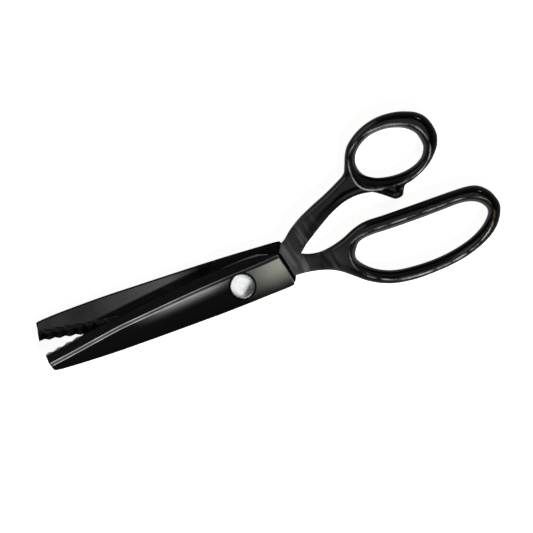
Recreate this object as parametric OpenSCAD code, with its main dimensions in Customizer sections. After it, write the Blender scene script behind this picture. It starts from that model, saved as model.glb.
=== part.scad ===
// Bent-handle pinking shears: two forged halves with meshing saw teeth on a
// ball-bearing pivot. They lie flat, with the blades towards -X, the thumb ring
// towards +Y and the pivot axis along Z. The origin is on the pivot axis, on the
// face that the shears lie on. The front half is the upper one.

/* [Blades] */
// Pivot axis to the blade tips
blade_len = 100; // [85:1:120]
// Pivot axis to the end of the plate around the pivot
heel_len = 24; // [22:0.5:28]
// Thickness of one half at the pivot, so half that of the closed shears
plate_t = 5.2; // [4.6:0.1:6.5]

/* [Teeth] */
// Distance from tooth to tooth along the blade
tooth_pitch = 4.95; // [3.5:0.05:6]
// Height of a tooth from root to crest
tooth_h = 2.5; // [1.2:0.1:3]
// Free height between the meshing teeth of the two halves
tooth_gap = 0.16; // [0.1:0.02:0.3]
// Width of the toothed strip along the cutting edge
strip_w = 6.5; // [5:0.5:8]
// Distance from the pivot axis at which the teeth start
teeth_from = 22; // [20:1:30]
// Depth of the hollow inner face below the lowest tooth root
hollow_clear = 0.35; // [0.2:0.05:0.8]
// How far the steep land leans over its height, per millimetre of height
land_lean = 0.27; // [0.1:0.01:0.4]

/* [Handles] */
// Pivot axis to the far end of the finger bow
handle_len = 128.6; // [118:0.2:155]
// Thickness of the rings and the shanks
handle_t = 9; // [7:0.5:9.2]
// Height and width of the small flare under each ring opening
under_flare = 1.6; // [0.6:0.1:2]
// Radius round the pivot inside which each handle keeps to its own side
cross_r = 38; // [36:1:44]
// Length of the raised underside between the back plate and its shank
rise_len = 5; // [3:0.5:7]

/* [Pivot] */
// Diameter of the pivot bolt's shank
bolt_d = 6; // [5:0.1:6.4]
// Diameter of the bolt's head
head_d = 11.8; // [11:0.1:12.6]
// Height of the head's low dome above its seat
head_h = 2.1; // [1.8:0.1:2.6]
// Depth of the recess that the head sits in
head_recess = 1.6; // [1.2:0.1:1.8]
// Radial gap round the head in its recess
head_clear = 0.5; // [0.3:0.1:0.7]
// Diameter of the keyed neck in the front half
neck_d = 8; // [7.6:0.1:8.4]
// Distance across the neck's two flats
neck_flats = 6.6; // [6.2:0.1:7]
// Diameter of the threaded end
thread_d = 5; // [4:0.5:5]
// Outer diameter of the bush in the back half
bush_od = 8; // [7.4:0.1:8.4]
// Diameter of the adjusting nut
nut_d = 11.6; // [10.6:0.1:12.4]
// Thickness of the adjusting nut
nut_t = 1.7; // [1.4:0.1:1.8]
// Thickness of the thrust washer
thrust_t = 0.5; // [0.4:0.05:0.6]
// Thickness of the spring washer
spring_t = 0.4; // [0.3:0.05:0.45]

/* [Bearing] */
// Diameter of the bearing balls
ball_d = 2; // [1.6:0.1:2.2]
// Number of bearing balls
ball_count = 12; // [8:1:13]
// Radius of the circle that the balls run on
ball_circle_r = 6.5; // [6.2:0.1:6.7]
// Gap between the two halves' faces, which the cage lies in
face_gap = 0.4; // [0.3:0.05:0.6]
// Radial width of the cage to each side of the ball circle
cage_side = 1.5; // [1.4:0.05:1.6]

/* [Hidden] */
$fn = 64;

running = 0.04;   // radial clearance of a turning fit
slip = 0.03;      // clearance of a fit that is assembled by hand
z_mid = plate_t;  // height of the plane between the two halves
hollow_d = tooth_h / 2 + hollow_clear;
face_z = plate_t - face_gap / 2;
nut_z = 0;        // the nut and the bolt's end lie flush with the back half's outer face
spring_z = nut_z + nut_t;
thrust_z = spring_z + spring_t + slip;
nut_recess = thrust_z + thrust_t;
recess_r = nut_d / 2 + head_clear;
neck_z = 2 * plate_t - head_recess;
last_root = blade_len - 2.2;
web_z = plate_t - hollow_d;

// Drawn at blade_len 100, heel_len 24 and handle_len 128.6, then stretched.
function bx(x) = x < 0 ? x * blade_len / 100 : x * heel_len / 24;
function blade_pts(p) = [for (q = p) [bx(q[0]), q[1]]];
function reach(x) = x < 30 ? 0 : x > 60 ? 1 : (x - 30) / 30;
function hx(x) = x + (heel_len - 24) * (1 - reach(x)) + (handle_len - 128.6) * reach(x);
function handle_pts(p) = [for (q = p) [hx(q[0]), q[1]]];

// Blade lines, each from the heel to the tip.
front_spine = blade_pts([
    [23.6, -7.2], [20, -7.7], [10, -8.2], [0, -8.8], [-15, -9.4], [-35, -9.9],
    [-50, -10.2], [-67, -10.4], [-80, -10.2], [-90, -9.9], [-97.6, -9.4], [-98.8, -8.4]
]);
front_edge = blade_pts([
    [16.4, 11.4], [10, 12.6], [0, 12.4], [-15, 11.3], [-30, 9.8], [-50, 7.3],
    [-62, 5.6], [-75, 3.9], [-87, 1.8], [-93, 0.7], [-99.4, -0.4]
]);
front_heel = blade_pts([[17.2, 9.4], [20.6, 8.4], [23.9, -5.8]]);
front_ridge = blade_pts([
    [17, 8.9], [10, 8.2], [0, 7.5], [-15, 6.4], [-30, 5], [-50, 2.8],
    [-62, 1.4], [-75, -0.8], [-87, -2.9], [-93, -3.9], [-99.4, -4.9]
]);
back_spine = blade_pts([
    [23.4, 14.7], [20, 15.1], [10, 15.5], [0, 15.9], [-15, 16.3], [-30, 16.5],
    [-50, 16.7], [-65, 16.8], [-80, 16.5], [-90, 16.1], [-98, 15.4], [-99.1, 14.6]
]);
back_edge = blade_pts([
    [20, -7], [10, -8.2], [0, -8.6], [-12, -7.4], [-30, -4.7], [-50, -1.8],
    [-62, -0.1], [-75, 1.8], [-86, 3.8], [-93, 5], [-100.2, 6.2]
]);
back_heel = blade_pts([[21.6, -6], [22.6, -4], [24, 13.8]]);
back_ridge = blade_pts([
    [20, -3.2], [10, -3.9], [0, -4.1], [-12, -3], [-30, -0.2], [-50, 2.8],
    [-62, 4.6], [-75, 6.6], [-86, 8.5], [-93, 9.6], [-100.2, 10.8]
]);

// Outer outline of the front handle, counter-clockwise from inside the plate.
front_handle_line = handle_pts([
    [16, -5.6], [21, -6.6], [24, -6.2], [25.2, -4.6], [27.4, -0.2], [30.8, 5.2], [35, 9],
    [40, 12.4], [45, 15.6], [50, 18.6], [55, 21], [60, 22.7], [66, 23.4], [72.4, 22.6],
    [76.2, 20.4], [79.8, 17.7], [82.6, 15.9], [86, 16.4], [87.6, 19], [89, 20.8],
    [92.2, 21.6], [96.1, 23], [99.2, 24.4], [102.8, 26.7], [106, 29.6], [109.2, 33.7],
    [110.8, 38.6], [110.4, 43.6], [108.4, 48.4], [105, 51.8], [100.7, 53.8], [96, 55.2],
    [90, 55.9], [84.5, 55.5], [78.5, 53.9], [73.2, 51.2], [68.6, 47.5], [66, 43.4],
    [64.2, 38.8], [62.3, 35.1], [57, 32], [50, 28.6], [43, 25.6], [36, 22.2], [30, 18.3],
    [26.2, 15], [23.6, 13.2], [22, 10.6], [19, 7], [14, 4]
]);
thumb_hole = handle_pts([
    [103, 37], [101.6, 42.4], [97.6, 46.3], [92.4, 48.4], [87, 49.2], [80.6, 48.6],
    [75.4, 46.2], [71.4, 42.6], [69.7, 38], [70.4, 33.8], [72.6, 30.9], [76.6, 28.6],
    [81.2, 27.4], [86, 26.9], [91.2, 27.2], [96.2, 28.5], [100, 30.7], [102.2, 33.6]
]);
thumb_rim = handle_pts([
    [105.9, 36.6], [104.4, 42.2], [100.8, 46.6], [95, 49.2], [88, 50.6], [79.6, 50],
    [73, 47.4], [68.2, 43.4], [66.1, 38], [66, 31.6], [68, 26.6], [72, 23.8],
    [78, 22.4], [85, 22], [91.8, 22.7], [98, 24.9], [102.4, 28.2], [105, 32]
]);

// Outer outline of the back handle, counter-clockwise from inside the plate.
back_handle_line = handle_pts([
    [15, 1], [19, -0.6], [23.6, -3], [30, -3.5], [36, -4.4], [42, -6.1], [47, -8.7],
    [52, -12.6], [57, -16.6], [63, -19.9], [70, -22.2], [79, -23.3], [88, -23.2],
    [98, -22.3], [107, -20.5], [115, -17.6], [121, -14.2], [125.2, -10.2], [127.8, -5.6],
    [128.6, -1.8], [127.6, 2.2], [125.4, 6], [121.8, 9.2], [117, 10.7], [108, 11],
    [90, 10.75], [75, 10.6], [65.5, 10.65], [59, 9.2], [52, 6.2], [45, 4.3], [39, 3.8],
    [33, 5.2], [27, 8.6], [24.6, 12], [23, 13.6], [19, 12.6], [15, 9]
]);
bow_hole = handle_pts([
    [122.3, -3], [120.9, 0.2], [117.2, 2.8], [111, 4.1], [101, 3.8], [88, 3.4],
    [75, 3.3], [66, 3.4], [60, 2.4], [57, -0.4], [55.5, -4.6], [58.6, -9.2], [64, -13.2],
    [71, -15.9], [79, -17], [89, -17.2], [99, -16.2], [109, -13.7], [116.4, -10.1],
    [120.8, -6.2]
]);
bow_rim = handle_pts([
    [124.8, -3], [123, 1.6], [118.4, 4.7], [111, 6.1], [101, 5.9], [88, 5.6],
    [75, 5.5], [65.6, 5.3], [58.2, 4.1], [54, 1], [52.8, -5.4], [55.4, -11.8], [61, -16.6],
    [69.4, -20.2], [79, -21.8], [89, -21.9], [100, -20.7], [111, -17.6], [119.2, -12.8],
    [123.6, -7.6]
]);

function turned(v) = [-v[1], v[0]];
function unit(v) = v / norm(v);

// The point at fraction t from p1 to p2 of a smooth curve through four points.
function curve_pt(p0, p1, p2, p3, t) =
    0.5 * (2 * p1 + (p2 - p0) * t + (2 * p0 - 5 * p1 + 4 * p2 - p3) * t * t
    + (3 * p1 - p0 - 3 * p2 + p3) * t * t * t);

// A closed smooth curve through the points, with n steps from one to the next.
function smooth_loop(p, n) = [
    for (i = [0:len(p) - 1], k = [0:n - 1])
        curve_pt(p[(i + len(p) - 1) % len(p)], p[i], p[(i + 1) % len(p)], p[(i + 2) % len(p)], k / n)
];

// The loop drawn in by d along its own normals.
function inset(p, d) = [
    for (i = [0:len(p) - 1])
        p[i] + d * turned(unit(p[(i + 1) % len(p)] - p[(i + len(p) - 1) % len(p)]))
];

// The open line moved by d to its right, towards the spine.
function moved(p, d) = [
    for (i = [0:len(p) - 1])
        p[i] - d * turned(unit(p[min(i + 1, len(p) - 1)] - p[max(i - 1, 0)]))
];

function reversed(p) = [for (i = [len(p) - 1:-1:0]) p[i]];
function at_height(p, z) = [for (q = p) [q[0], q[1], z]];

// A closed solid through rings of points, which run counter-clockwise seen from the last
// ring. The end caps are flat faces, or fans of triangles from each ring's first point.
module loft(rings, fan = false) {
    n = len(rings[0]);
    last = len(rings) - 1;
    sides = [
        for (r = [0:last - 1], i = [0:n - 1], half = [0, 1])
            let (a = r * n + i, b = r * n + (i + 1) % n)
                half == 0 ? [a, a + n, b] : [b, a + n, b + n]
    ];
    flat_caps = [[for (i = [0:n - 1]) i], [for (i = [n - 1:-1:0]) last * n + i]];
    fan_caps = [
        for (i = [1:n - 2], end = [0, 1])
            end == 0 ? [0, i, i + 1] : [last * n, last * n + i + 1, last * n + i]
    ];
    polyhedron([for (r = rings) each r], concat(fan ? fan_caps : flat_caps, sides));
}

// Rings round the pivot with the saw-tooth profile on top. side is 1 on the back half
// and -1 on the front half, which is modelled upside down.
module tooth_rings(side) {
    steps = floor(2 * (last_root + tooth_pitch - teeth_from) / tooth_pitch);
    top = plate_t - tooth_gap / 2;
    saw = [
        for (k = [0:steps])
            [last_root + tooth_pitch - k * tooth_pitch / 2, top + (k % 2 == 0 ? -side : side) * tooth_h / 2]
    ];
    rotate_extrude($fn = 180)
        polygon(concat([[saw[0][0], 1]], saw, [[saw[steps][0], 1]]));
}

// What the bevel and the steep land take off outside a blade's ridge.
module bevel_cut(edge, ridge) {
    low = plate_t + tooth_h;
    land_h = plate_t / 2;
    foot = moved(edge, land_lean * (plate_t + tooth_h / 2 - land_h));
    lip = moved(edge, -land_lean * tooth_h / 2);
    far = moved(edge, -8);
    loft([
        for (i = [0:len(edge) - 1])
            [
                [foot[i][0], foot[i][1], land_h],
                [ridge[i][0], ridge[i][1], 0],
                [ridge[i][0], ridge[i][1], -2],
                [far[i][0], far[i][1], -2],
                [far[i][0], far[i][1], low],
                [lip[i][0], lip[i][1], low]
            ]
    ], fan = true);
}

// One blade with its plate, outer face down. side is 1 when the spine is towards +Y.
module blade(spine, edge, heel, ridge, side) {
    outline = concat(spine, reversed(edge), heel);
    strip = concat(edge, reversed(moved(edge, side * strip_w)));
    difference() {
        union() {
            linear_extrude(web_z) polygon(outline);
            intersection() {
                linear_extrude(face_z) polygon(outline);
                cylinder(r = teeth_from - 4, h = plate_t);
            }
            intersection() {
                linear_extrude(2 * plate_t) polygon(strip);
                tooth_rings(side);
            }
        }
        if (side > 0)
            bevel_cut(edge, ridge);
        else
            mirror([0, 1, 0]) bevel_cut(flipped(edge), flipped(ridge));
    }
}

function flipped(p) = [for (q = p) [q[0], -q[1]]];

// A handle with a ring opening that flares towards its rim line.
module handle(line, hole, rim) {
    opening = smooth_loop(hole, 3);
    difference() {
        linear_extrude(handle_t) polygon(smooth_loop(line, 3));
        loft([
            at_height(inset(opening, -under_flare), -1),
            at_height(opening, under_flare),
            at_height(opening, handle_t / 2),
            at_height(smooth_loop(rim, 3), handle_t + 1)
        ]);
    }
}

// A twelve-sided block that holds a circle of radius r.
module flat_sided(r, h) {
    cylinder(r = r / cos(15), h = h, $fn = 12);
}

module on_front() {
    translate([0, 0, 2 * plate_t]) mirror([0, 0, 1]) children();
}

// Ball groove shared by the two halves' faces.
module ball_groove() {
    translate([0, 0, z_mid]) rotate_extrude() translate([ball_circle_r, 0]) circle(r = ball_d / 2 + running);
}

// Round bar with two flats, which keys the bolt to the front half.
module keyed_bar(d, flats, h) {
    intersection() {
        cylinder(d = d, h = h);
        translate([-d / 2, -flats / 2, 0]) cube([d, flats, h]);
    }
}

module front_half() {
    color([0.1, 0.1, 0.11])
    difference() {
        union() {
            on_front() blade(front_spine, front_edge, front_heel, front_ridge, -1);
            difference() {
                handle(front_handle_line, thumb_hole, thumb_rim);
                translate([0, 0, -1]) flat_sided(cross_r, z_mid + face_gap / 2 + 1);
            }
        }
        translate([0, 0, z_mid]) keyed_bar(neck_d + 2 * slip, neck_flats + 2 * slip, 2 * plate_t);
        translate([0, 0, neck_z]) cylinder(d = head_d + 2 * head_clear, h = plate_t);
        ball_groove();
    }
}

module back_half() {
    color([0.16, 0.16, 0.17])
    difference() {
        union() {
            blade(back_spine, back_edge, back_heel, back_ridge, 1);
            difference() {
                handle(back_handle_line, bow_hole, bow_rim);
                translate([0, 0, face_z]) flat_sided(cross_r, plate_t + 1);
                translate([0, 0, -1]) flat_sided(heel_len + rise_len, 2 * plate_t - handle_t + 1);
            }
        }
        translate([0, 0, -1]) cylinder(d = bush_od, h = 2 * plate_t);
        translate([0, 0, -1]) cylinder(r = recess_r, h = nut_recess + 1);
        ball_groove();
    }
}

module pivot_bolt() {
    dome_r = (pow(head_d / 2 - 0.3, 2) + pow(head_h - 1, 2)) / (2 * (head_h - 1));
    dome = [
        for (k = [0:8])
            let (x = (head_d / 2 - 0.3) * (1 - k / 8))
                [x, neck_z + head_h - dome_r + sqrt(dome_r * dome_r - x * x)]
    ];
    color([0.8, 0.82, 0.84]) {
        rotate_extrude()
            polygon(concat([[0, neck_z], [head_d / 2, neck_z], [head_d / 2, neck_z + 0.7]], dome));
        translate([0, 0, z_mid + face_gap / 2]) keyed_bar(neck_d, neck_flats, neck_z - z_mid - face_gap / 2);
        translate([0, 0, thrust_z]) cylinder(d = bolt_d, h = neck_z - thrust_z);
        translate([0, 0, nut_z]) cylinder(d = thread_d, h = neck_z - nut_z);
    }
}

module pivot_bush() {
    color([0.72, 0.53, 0.3])
    translate([0, 0, nut_recess]) difference() {
        cylinder(d = bush_od, h = face_z - nut_recess);
        translate([0, 0, -1]) cylinder(d = bolt_d + 2 * running, h = plate_t);
    }
}

module ball_cage() {
    thick = face_gap - 2 * running;
    color([0.78, 0.62, 0.3])
    translate([0, 0, z_mid - thick / 2]) difference() {
        cylinder(r = ball_circle_r + cage_side, h = thick);
        translate([0, 0, -1]) cylinder(r = ball_circle_r - cage_side, h = 3);
        for (i = [0:ball_count - 1])
            rotate(i * 360 / ball_count)
                translate([ball_circle_r, 0, -1]) cylinder(d = ball_d + 2 * running, h = 3);
    }
}

module bearing_balls() {
    color([0.85, 0.86, 0.88])
    for (i = [0:ball_count - 1])
        rotate(i * 360 / ball_count) translate([ball_circle_r, 0, z_mid]) sphere(d = ball_d);
}

module washer(z, t, inner) {
    translate([0, 0, z]) difference() {
        cylinder(d = nut_d, h = t);
        translate([0, 0, -1]) cylinder(d = inner, h = t + 2);
    }
}

module thrust_washer() {
    color([0.72, 0.53, 0.3]) washer(thrust_z, thrust_t, bolt_d + 2 * running);
}

module spring_washer() {
    color([0.6, 0.62, 0.64]) washer(spring_z, spring_t, thread_d + 2 * running);
}

module adjusting_nut() {
    slot_w = 1.4;
    slot_d = 0.8;
    color([0.75, 0.76, 0.78])
    difference() {
        washer(nut_z, nut_t, thread_d + 2 * slip);
        translate([-nut_d, -slot_w / 2, nut_z - 1]) cube([2 * nut_d, slot_w, slot_d + 1]);
    }
}

front_half();
back_half();
pivot_bolt();
pivot_bush();
ball_cage();
bearing_balls();
thrust_washer();
spring_washer();
adjusting_nut();
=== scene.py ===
"""Pinking shears, modelled as the maker would finish them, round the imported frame.

Plan lines are in millimetres in the frame's own axes: the pivot axis is the origin, +X runs
to the handles, +Y to the thumb ring and +Z up from the face that the shears rest on. Each
half is a forging: one plan, with a height for its upper and for its lower surface.
"""

import logging
import math
from collections.abc import Callable, Sequence
from dataclasses import dataclass, field
from enum import Enum

import bpy
import numpy as np
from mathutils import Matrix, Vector
from mathutils.geometry import delaunay_2d_cdt


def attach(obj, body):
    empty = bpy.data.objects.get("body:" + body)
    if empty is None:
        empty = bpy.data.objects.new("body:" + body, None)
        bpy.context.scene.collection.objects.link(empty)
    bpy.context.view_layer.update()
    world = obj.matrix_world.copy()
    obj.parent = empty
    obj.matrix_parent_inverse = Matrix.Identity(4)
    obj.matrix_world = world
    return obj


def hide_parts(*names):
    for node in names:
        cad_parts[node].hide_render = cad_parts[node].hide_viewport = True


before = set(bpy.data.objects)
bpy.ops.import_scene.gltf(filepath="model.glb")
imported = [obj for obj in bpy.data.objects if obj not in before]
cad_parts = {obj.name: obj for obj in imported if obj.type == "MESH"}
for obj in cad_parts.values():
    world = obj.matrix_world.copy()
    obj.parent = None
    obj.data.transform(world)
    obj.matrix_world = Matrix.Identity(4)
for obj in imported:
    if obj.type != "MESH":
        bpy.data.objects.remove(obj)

LOG = logging.getLogger("shears")
MM = 0.001
PLATE = 5.2  # thickness of a half at the pivot
STACK = 2 * PLATE
TOOTH_PITCH = 4.95
TOOTH_HEIGHT = 2.5
TOOTH_GAP = 0.16
LAST_ROOT = 97.8  # distance of the outermost tooth root from the pivot
TEETH_FROM = 22.0
TOOTH_RADII = np.arange(LAST_ROOT, TEETH_FROM + 0.2, -TOOTH_PITCH / 2)  # roots and tips in turn
LAND_LEAN = 0.27  # run of the toothed edge's steep land for each millimetre of its height
LAND_HEIGHT = 2.6
WEB = 3.6  # thickness of the hollowed blade
BOSS_FACE = 5.0
BOSS_RADIUS = 18.0
CROSS_RADIUS = 38.0  # where the handles start to leave each other's way
CROSS_RUN = 9.0
HANDLE_TOP = 9.0
UNDER_LIFT = 1.4  # height of the back shank's underside, and where it comes down
UNDER_RUN = (29.0, 36.0)
GROOVE_RADIUS = 6.5  # ring that the balls run in, and the radius of its section
GROOVE_SIZE = 1.04
RECESS_STEPS = (0.05, 0.2, 0.45)  # foot and top of a recess's wall, and end of its bevelled lip
HEEL_GROOVE = (0.3, 0.9, 1.6)  # floor, middle and far side of the groove behind the plate
HEEL_DEPTH = 0.75
EDGE_LEAST = 0.3  # share of the handle's half thickness left at its edge, rim and underside
RIM_LEAST = 0.12
FLARE_LEAST = 0.5
RIM_POWER = 0.9  # below 1 it makes the slope inside the rim fuller
STRIP_RUN = (-100.0, -60.0)  # where along X the toothed strip widens
BACK_SHARES = (0.08, 0.25, 0.5, 0.75, 1.0)  # shares of each rounding that get more points
BAND_SHARES = (0.02, 0.08, 0.18, 0.32, 0.5, 0.72, 1.0, 1.2)
SLOPE_SHARES = (0.06, 0.16, 0.3, 0.45, 0.6, 0.75, 0.88, 0.95, 1.08, 1.2, 1.35)
GRID_STEP = 1.5
ROUND = 96  # points round a turned ring
ON_LINE = 0.02  # a point as near as this to a line is on it
BLOCK = 2000  # points that are measured at a time

Points = np.ndarray
Values = np.ndarray
Mask = np.ndarray
Field = Callable[[Points], Values]
Pairs = Sequence[Sequence[float]]
Socket = bpy.types.NodeSocket
Materials = dict[str, bpy.types.Material]


# ---------------------------------------------------------------- plan geometry


def between(values: Values, low: float, high: float) -> Values:
    """Smooth step from 0 at low to 1 at high."""
    t = np.clip((values - low) / (high - low), 0.0, 1.0)
    return t * t * (3.0 - 2.0 * t)


def quarter_round(share: Values, least: float) -> Values:
    """Rise of a rounded edge, from least where the share is 0 to 1 where it is 1."""
    return least + (1 - least) * np.sqrt(1 - (1 - np.clip(share, 0, 1)) ** 2)


def curve_through(p0: Points, p1: Points, p2: Points, p3: Points, t: float) -> Points:
    """Point at fraction t from p1 to p2 of a smooth curve through four points."""
    return 0.5 * (
        2 * p1
        + (p2 - p0) * t
        + (2 * p0 - 5 * p1 + 4 * p2 - p3) * t * t
        + (3 * p1 - p0 - 3 * p2 + p3) * t**3
    )


def smooth(pairs: Pairs, steps: int, closed: bool = False) -> Points:
    """Smooth curve through the points.

    Args:
        pairs: Points in order.
        steps: Number of steps from one point to the next.
        closed: True for a loop, whose first point isn't repeated.

    Returns:
        The points of the curve.
    """
    p = np.array(pairs, float)
    before, after = (p[-1:], p[:2]) if closed else (p[:1], p[-1:])
    run = np.vstack([before, p, after])
    curve = [curve_through(*run[i:i + 4], k / steps) for i in range(len(run) - 3) for k in range(steps)]
    return np.array(curve if closed else curve + [p[-1]])


def beside(line: Points, distance: float | Values, closed: bool = False) -> Points:
    """Moves a line to its left.

    Args:
        line: Its points.
        distance: How far, in all or at each point, and to the right where it is negative.
        closed: True for a loop.

    Returns:
        The points of the moved line.
    """
    ahead = np.roll(line, -1, axis=0) - np.roll(line, 1, axis=0)
    if not closed:
        ahead[0] = line[1] - line[0]
        ahead[-1] = line[-1] - line[-2]
    ahead /= np.linalg.norm(ahead, axis=1)[:, None]
    left = np.column_stack([-ahead[:, 1], ahead[:, 0]])
    return line + left * np.reshape(distance, (-1, 1))


def ring(radius: float, count: int) -> Points:
    """Circle of points round the pivot axis."""
    turn = np.arange(count) * 2 * math.pi / count
    return radius * np.column_stack([np.cos(turn), np.sin(turn)])


def segments(line: Points, closed: bool) -> tuple[Points, Points]:
    """Start and end points of a line's segments."""
    return (line, np.roll(line, -1, axis=0)) if closed else (line[:-1], line[1:])


def away_from(points: Points, line: Points, closed: bool = False) -> Values:
    """Measures how far points are from a line.

    Args:
        points: The points.
        line: The line's points.
        closed: True for a loop.

    Returns:
        Distance of each point from the nearest place on the line.
    """
    start, end = segments(line, closed)
    along = end - start
    length2 = np.maximum((along**2).sum(1), 1e-12)
    out = np.empty(len(points))
    for first in range(0, len(points), BLOCK):
        block = points[first:first + BLOCK, None, :] - start[None]
        t = np.clip((block * along[None]).sum(2) / length2, 0, 1)
        gap = block - t[..., None] * along[None]
        out[first:first + BLOCK] = np.sqrt((gap**2).sum(2).min(1))
    return out


def within(points: Points, loop: Points) -> Mask:
    """Finds the points inside a loop.

    Args:
        points: The points.
        loop: The loop's points.

    Returns:
        True for each point from which a ray crosses the loop an odd number of times.
    """
    start, end = segments(loop, True)
    x = points[:, 0, None]
    y = points[:, 1, None]
    spans = (start[:, 1] > y) != (end[:, 1] > y)
    rise = np.where(end[:, 1] == start[:, 1], 1.0, end[:, 1] - start[:, 1])
    crossing = start[:, 0] + (y - start[:, 1]) / rise * (end[:, 0] - start[:, 0])
    return (spans & (x < crossing)).sum(1) % 2 == 1


def radius_of(points: Points) -> Values:
    """Distance of each point from the pivot axis."""
    return np.linalg.norm(points, axis=1)


def saw(radius: Values) -> Values:
    """Height of the saw-tooth line above the plane between the halves, at a radius."""
    phase = np.abs((LAST_ROOT - radius) / TOOTH_PITCH % 1.0 - 0.5) * 2
    return TOOTH_HEIGHT * (0.5 - phase)


# ---------------------------------------------------------------- forged solids


def enter(name: str, data: bpy.types.ID) -> bpy.types.Object:
    """A new object in the scene."""
    thing = bpy.data.objects.new(name, data)
    bpy.context.scene.collection.objects.link(thing)
    return thing


def shade(mesh: bpy.types.Mesh, angle: float) -> None:
    """Shades a mesh as round wherever its faces turn by less than an angle in degrees."""
    mesh.polygons.foreach_set("use_smooth", np.ones(len(mesh.polygons), bool))
    mesh.set_sharp_from_angle(angle=math.radians(angle))


def fit(piece: bpy.types.Object, body: str, node: str) -> bpy.types.Object:
    """Fits a finished piece to its body in place of a CAD node."""
    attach(piece, body)
    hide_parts(node)
    return piece


class Side(Enum):
    """Which surface of a forging a face belongs to."""

    TOP = "top"
    BOTTOM = "bottom"
    WALL = "wall"


@dataclass(frozen=True)
class Crease:
    """A line of a plan that the surfaces follow.

    Attributes:
        line: Its points.
        closed: True for a loop.
        sharp: True where the surfaces break along it instead of rounding over.
    """

    line: Points
    closed: bool = False
    sharp: bool = True


@dataclass
class Forging:
    """A solid between an upper and a lower surface over one plan.

    Attributes:
        name: Name of the finished object.
        outlines: Closed loops, the plan being what any of them encloses.
        openings: Closed loops that are cut right through.
        creases: Lines that the surfaces follow.
        loose: More points, where the surfaces curve.
        least: Smallest thickness.
        clear: Smallest distance of a loose point from the points of the lines.
        smooth_angle: Largest angle in degrees that is shaded as a round.
    """

    name: str
    outlines: list[Points]
    openings: list[Points] = field(default_factory=list)
    creases: list[Crease] = field(default_factory=list)
    loose: list[Points] = field(default_factory=list)
    least: float = 0.02
    clear: float = 0.08
    smooth_angle: float = 38.0

    def triangles(self) -> tuple[Points, np.ndarray, set[tuple[int, int]]]:
        """Triangulates the plan.

        Returns:
            Plan points, rows of three point numbers, and the pairs that are sharp creases.
        """
        corners: list[Points] = []
        edges: list[tuple[int, int]] = []
        sharp: set[int] = set()
        total = 0
        rims = [Crease(loop, True, False) for loop in self.outlines + self.openings]
        for crease in rims + self.creases:
            count = len(crease.line)
            pairs = [(total + i, total + (i + 1) % count) for i in range(count)]
            pairs = pairs if crease.closed else pairs[:-1]
            if crease.sharp:
                sharp.update(range(len(edges), len(edges) + len(pairs)))
            edges += pairs
            corners.append(crease.line)
            total += count
        fixed = np.vstack(corners)
        corners += [extra[self.clear_of(extra, fixed)] for extra in self.loose]
        out = delaunay_2d_cdt([Vector(p) for p in np.vstack(corners)], edges, [], 0, 1e-4, True)
        plan = np.array([tuple(v) for v in out[0]])
        tris = np.array(out[2])
        middle = plan[tris].mean(1)
        solid = np.any([within(middle, outline) for outline in self.outlines], axis=0)
        for opening in self.openings:
            solid &= ~within(middle, opening)
        breaks = {
            (min(edge), max(edge))
            for edge, origins in zip(out[1], out[4])
            if sharp.intersection(origins)
        }
        return plan, tris[solid], breaks

    def clear_of(self, extra: Points, fixed: Points) -> Mask:
        """True for each extra point that isn't on top of a fixed one."""
        out = np.empty(len(extra), bool)
        for first in range(0, len(extra), BLOCK):
            gap = extra[first:first + BLOCK, None, :] - fixed[None]
            out[first:first + BLOCK] = (gap**2).sum(2).min(1) > self.clear**2
        return out

    def build(
        self,
        top: Field,
        bottom: Field,
        pick: Callable[[Points, Side], np.ndarray],
        wear: Callable[[Points, Side], Values] | None = None,
    ) -> bpy.types.Object:
        """Makes the closed mesh.

        Args:
            top: Height of the upper surface.
            bottom: Height of the lower surface.
            pick: Number of the finish at each face's middle.
            wear: Share of painted highlight at each point, from 0 to 1.

        Returns:
            The object, linked to the scene.
        """
        plan, tris, breaks = self.triangles()
        used = np.unique(tris)
        number = np.full(len(plan), -1)
        number[used] = np.arange(len(used))
        tris = number[tris]
        breaks = {(number[a], number[b]) for a, b in breaks}
        plan = plan[used]
        turn = np.cross(plan[tris[:, 1]] - plan[tris[:, 0]], plan[tris[:, 2]] - plan[tris[:, 0]])
        tris[turn < 0] = tris[turn < 0][:, ::-1]
        count = len(plan)
        low = bottom(plan)
        high = np.maximum(top(plan), low + self.least)
        sides = np.vstack([tris[:, [0, 1]], tris[:, [1, 2]], tris[:, [2, 0]]])
        _, where, times = np.unique(
            np.sort(sides, axis=1), axis=0, return_inverse=True, return_counts=True
        )
        rim = sides[times[where.ravel()] == 1]
        walls = np.column_stack([rim[:, 0] + count, rim[:, 1] + count, rim[:, 1], rim[:, 0]])
        corners = np.vstack([np.column_stack([plan, high]), np.column_stack([plan, low])]) * MM
        faces = tris.tolist() + (tris[:, ::-1] + count).tolist() + walls.tolist()
        mesh = bpy.data.meshes.new(self.name)
        mesh.from_pydata(corners.tolist(), [], faces)
        mesh.update()
        middle = plan[tris].mean(1)
        finish = np.concatenate([
            pick(middle, Side.TOP),
            pick(middle, Side.BOTTOM),
            pick(plan[rim].mean(1), Side.WALL),
        ])
        mesh.polygons.foreach_set("material_index", finish.astype(np.int32))
        shade(mesh, self.smooth_angle)
        marks = mesh.attributes["sharp_edge"].data
        for edge in mesh.edges:
            a, b = sorted(v % count for v in edge.vertices)
            if (a, b) in breaks and (edge.vertices[0] < count) == (edge.vertices[1] < count):
                marks[edge.index].value = True
        # share of painted highlight, stored on the points for the enamel
        if wear is not None:
            layer = mesh.attributes.new("wear", "FLOAT", "POINT")
            values = np.concatenate([wear(plan, Side.TOP), wear(plan, Side.BOTTOM)])
            layer.data.foreach_set("value", values.astype(np.float32))
        return enter(self.name, mesh)


# ---------------------------------------------------------------- finishes


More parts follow.
